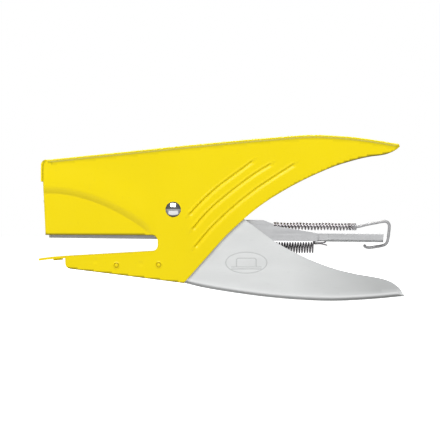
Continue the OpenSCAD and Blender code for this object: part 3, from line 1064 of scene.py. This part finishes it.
def make_return_spring():
    """The spring under the tail: a wire forward to the jaw, close coils, and a loop through the tab."""
    low = low_high("return_spring")[0]
    radius, wire, turns = 2.25, 0.31, 35
    z = low[2] + RETURN_AXIS
    start, end = [at((low[0] + x, z)) for x in RETURN_COILS]
    coil = helix(start, end, radius, turns, wire, closed_ends=0.5)
    channel_foot = to_magazine((PIVOT[0], low_high("magazine_channel")[0][2]))[1]
    hole = in_magazine(TAB_HOLE, channel_foot + TAB_HOLE_HEIGHT)
    first, last = coil[0], coil[-1]
    front = spline([at((low[0] + 0.6, z + 0.2)), at((low[0] + 1.2, z + 0.85)), at((low[0] + 4.5, z + 0.9)),
                    at((low[0] + 7.0, z + 1.4)), first + [-0.9, 0, 0.05], first], 8)
    bends = [(-3.6, -0.8, 0.5), (-1.0, -0.45, 1.0), (0.9, -0.45, 0.7), (1.7, -0.85, 0.0), (0.9, -1.3, -0.8),
             (-1.5, -1.4, -1.0), (-3.4, -1.5, -0.3), (-3.0, -1.9, 0.6), (-0.5, -1.85, 0.9), (2.4, -2.5, 0.9)]
    loop = [at((hole[0] + x, hole[1] + z), y) for x, z, y in bends]
    back = spline([last, last + [0.5, 0.2, 0.4]] + loop, 8)
    route = np.vstack([front[:-1], coil, back[1:]])
    piece = sweep("tail_return_spring", route, wire, 10)
    finish_piece(piece, "return_spring")
    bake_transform(piece)


def make_collar():
    """A stop of close turns wound hard on the rod."""
    low, high = low_high("rod_collar")
    start, end = on_rod(low[0] - 0.3), on_rod(high[0] - 0.1)
    radius, wire = 1.4, 0.33
    turns = (end - start)[0] / (2.1 * wire)
    piece = sweep("rod_stop", helix(start, end, radius, turns, wire, closed_ends=0.5), wire, 12)
    finish_piece(piece, "rod_collar")
    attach(piece, "rod")


def make_pressure_spring():
    """The short upright spring in the head."""
    low, high = low_high("pressure_spring")
    radius, wire, turns = 2.6, 0.45, 4.5
    start, end = [at(((low[0] + high[0]) / 2, z)) for z in (low[2], high[2])]
    piece = sweep("nose_pressure_spring", helix(start, end, radius, turns, wire, closed_ends=0.75), wire, 12)
    finish_piece(piece, "pressure_spring")
    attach(piece, "magazine")
    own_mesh(piece)


def make_hook():
    """The latch: wire up from the collar, down behind the tail and forward under it, its end turned up."""
    wire = 0.65
    route = [(0.2, 0), (1.6, 0), (2.8, 0.25), (5.0, 0.85), (9.5, 1.8), (12.6, 2.4), (13.9, 2.5), (15.0, 2.0),
             (15.6, 0.9), (15.65, -0.6), (15.4, -3.2), (15.05, -5.8), (14.3, -7.5), (12.6, -8.4), (9.5, -9.0),
             (7.2, -9.35), (5.8, -9.3), (4.9, -8.9), (4.55, -8.3)]
    places = [at(in_magazine(HOOK_X + x, ROD_Z + z)) for x, z in route]
    piece = sweep("wire_latch", spline(places), wire, 16)
    finish_piece(piece, "latch_hook")
    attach(piece, "hook")


def make_staples():
    """The glued stick as separate wires, each a flattened inverted U."""
    low, high = low_high("staple_strip")
    half = high[1]
    wire, bend = 0.5, 0.55
    top, bottom = -9.25, -13.1
    count = int(round((high[0] - low[0]) / wire))
    outer = [(half, bottom), (half, top - bend)]
    for a in np.linspace(0.3, math.pi / 2, 4):
        outer.append((half - bend * (1 - math.cos(a)), top - bend * (1 - math.sin(a))))
    inner = [(half - wire, bottom + 0.12), (half - wire, top - wire - 0.15), (half - wire - 0.15, top - wire)]
    ring = outer + [(-y, z) for y, z in outer[::-1]] + [(-y, z) for y, z in inner] + inner[::-1]
    n = len(ring)
    points = []
    faces = []
    first = (low[0] - PIVOT[0]) + 0.18
    for i in range(count):
        for offset in (0.03, wire - 0.03):
            x = first + i * wire + offset
            points += [at(in_magazine(x, z), y) for y, z in ring]
        a = i * 2 * n
        for k in range(n):
            faces.append((a + k, a + (k + 1) % n, a + n + (k + 1) % n, a + n + k))
        faces.append(tuple(range(a + n - 1, a - 1, -1)))
        faces.append(tuple(range(a + n, a + 2 * n)))
    piece = make_object("staple_stick", points, faces)
    outward(piece)
    smooth(piece, 30)
    finish_piece(piece, "staple_strip")
    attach(piece, "magazine")


# ---------------------------------------------------------------- stage, light and camera

def make_stage():
    """A pale floor, bright enough by itself that it throws no coloured light back on the object."""
    floor_z = cad_box[0].z - 0.0008
    size = 6.0
    mesh = bpy.data.meshes.new("floor")
    corners = [(x * size, y * size, floor_z) for x, y in ((-1, -1), (1, -1), (1, 1), (-1, 1))]
    mesh.from_pydata(corners, [], [(0, 1, 2, 3)])
    floor = bpy.data.objects.new("floor", mesh)
    bpy.context.scene.collection.objects.link(floor)
    material, nodes, links, shader = new_material("pale_floor")
    space = texture_space(nodes, links)
    tone = remap(nodes, links, noise(nodes, links, space, 6, 2), 0, 1)
    colour = blend_colour(nodes, links, tone, (0.86, 0.86, 0.86), (0.84, 0.84, 0.845))
    links.new(colour, shader.inputs["Base Color"])
    shader.inputs["Roughness"].default_value = 0.9
    shader.inputs["Specular IOR Level"].default_value = 0.0
    shader.inputs["Emission Color"].default_value = (1, 1, 1, 1)
    reach = nodes.new("ShaderNodeVectorMath")
    reach.operation = "LENGTH"
    links.new(space, reach.inputs[0])
    glow = remap(nodes, links, reach.outputs["Value"], 0.62, 1.1, 0.25, 1.2)
    links.new(glow, shader.inputs["Emission Strength"])
    floor.data.materials.append(material)
    floor.visible_shadow = False
    floor.visible_diffuse = False
    floor.visible_glossy = False


def level_ramp(nodes, links, value, stops):
    """A grey level from a value between 0 and 1, through the given stops."""
    ramp = nodes.new("ShaderNodeValToRGB")
    elements = ramp.color_ramp.elements
    for i, (position, level) in enumerate(stops):
        element = elements[i] if i < 2 else elements.new(position)
        element.position = position
        element.color = (level, level, level, 1)
    links.new(value, ramp.inputs["Fac"])
    return ramp.outputs["Color"]


WORLD_LIGHT = 0.8


def make_world():
    """White to the eye; as light, bright low down in front and behind, and dim above and at the ends."""
    world = bpy.data.worlds.new("studio")
    bpy.context.scene.world = world
    world.use_nodes = True
    nodes, links = world.node_tree.nodes, world.node_tree.links
    where = nodes.new("ShaderNodeTexCoord")
    split = nodes.new("ShaderNodeSeparateXYZ")
    links.new(where.outputs["Generated"], split.inputs["Vector"])
    facing = nodes.new("ShaderNodeMath")
    facing.operation = "ABSOLUTE"
    links.new(split.outputs["Y"], facing.inputs[0])
    broad = level_ramp(nodes, links, facing.outputs["Value"], ((0.12, 0.12), (0.9, 1.0), (0.4, 0.75)))
    height = remap(nodes, links, split.outputs["Z"], 0, 1, -1, 1)
    stops = ((0.04, 0.12), (0.98, 0.4), (0.15, 0.45), (0.42, 0.5), (0.49, 0.74), (0.54, 0.2), (0.8, 0.18))
    bands = level_ramp(nodes, links, height, stops)
    light = nodes.new("ShaderNodeVectorMath")
    light.operation = "MULTIPLY"
    links.new(broad, light.inputs[0])
    links.new(bands, light.inputs[1])
    ray = nodes.new("ShaderNodeLightPath")
    seen = nodes.new("ShaderNodeMix")
    seen.data_type = "RGBA"
    links.new(ray.outputs["Is Camera Ray"], seen.inputs["Factor"])
    links.new(light.outputs["Vector"], seen.inputs["A"])
    level = 1 / WORLD_LIGHT
    seen.inputs["B"].default_value = (level, level, level, 1)
    links.new(seen.outputs["Result"], nodes["Background"].inputs["Color"])
    nodes["Background"].inputs["Strength"].default_value = WORLD_LIGHT


def area_light(name, place, aim, size, power):
    data = bpy.data.lights.new(name, "AREA")
    data.shape = "RECTANGLE"
    data.size, data.size_y = size
    data.energy = power
    lamp = bpy.data.objects.new(name, data)
    lamp.location = place
    lamp.visible_camera = False
    lamp.rotation_euler = (Vector(aim) - Vector(place)).to_track_quat("-Z", "Y").to_euler()
    bpy.context.scene.collection.objects.link(lamp)


# The width in millimetres that the picture shows, and the camera's place in metres
PICTURE_WIDTH = 196.75
CAMERA_DISTANCE = 1.6
AIM_SHIFT = Vector((-0.00056, 0, -0.00097))


def make_camera():
    """Level, square on to the near cheek, from far enough to look almost parallel."""
    aim = (cad_box[0] + cad_box[1]) / 2 + AIM_SHIFT
    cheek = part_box("body_shell")[0].y
    data = bpy.data.cameras.new("camera")
    data.sensor_width = 36
    data.lens = data.sensor_width * CAMERA_DISTANCE / (PICTURE_WIDTH * MM)
    data.clip_end = 30
    camera = bpy.data.objects.new("camera", data)
    camera.location = (aim.x, cheek - CAMERA_DISTANCE, aim.z)
    camera.rotation_euler = (math.pi / 2, 0, 0)
    bpy.context.scene.collection.objects.link(camera)
    bpy.context.scene.camera = camera
    return aim


def make_lights(aim):
    """On each side, a soft box above and a broad weak fill below."""
    for side in (-1, 1):
        area_light("key", (aim.x - 0.06, side * 1.05, aim.z + 1.0), aim, (1.15, 0.9), 20.5)
        area_light("low_fill", (aim.x, side * 1.05, aim.z - 0.75), aim, (2.6, 1.0), 5.0)


# ---------------------------------------------------------------- assembly

view_aim = make_camera()
make_stage()
make_world()
make_lights(view_aim)
make_body()
make_handle()
make_pivot_rivet()
make_jaw_rivets()
make_follower_spring()
make_return_spring()
make_collar()
make_pressure_spring()
make_hook()
make_staples()
softened("anvil_plate", reshape=curl_tip)
for plain in ("pivot_sleeve", "spring_seat", "seat_rivets", "driver_pin", "driver_blade",
              "magazine_channel", "magazine_nose", "staple_rail", "rail_rivets", "spring_bridge",
              "pusher", "pusher_rod"):
    softened(plain)

bpy.context.scene.view_settings.view_transform = "Standard"
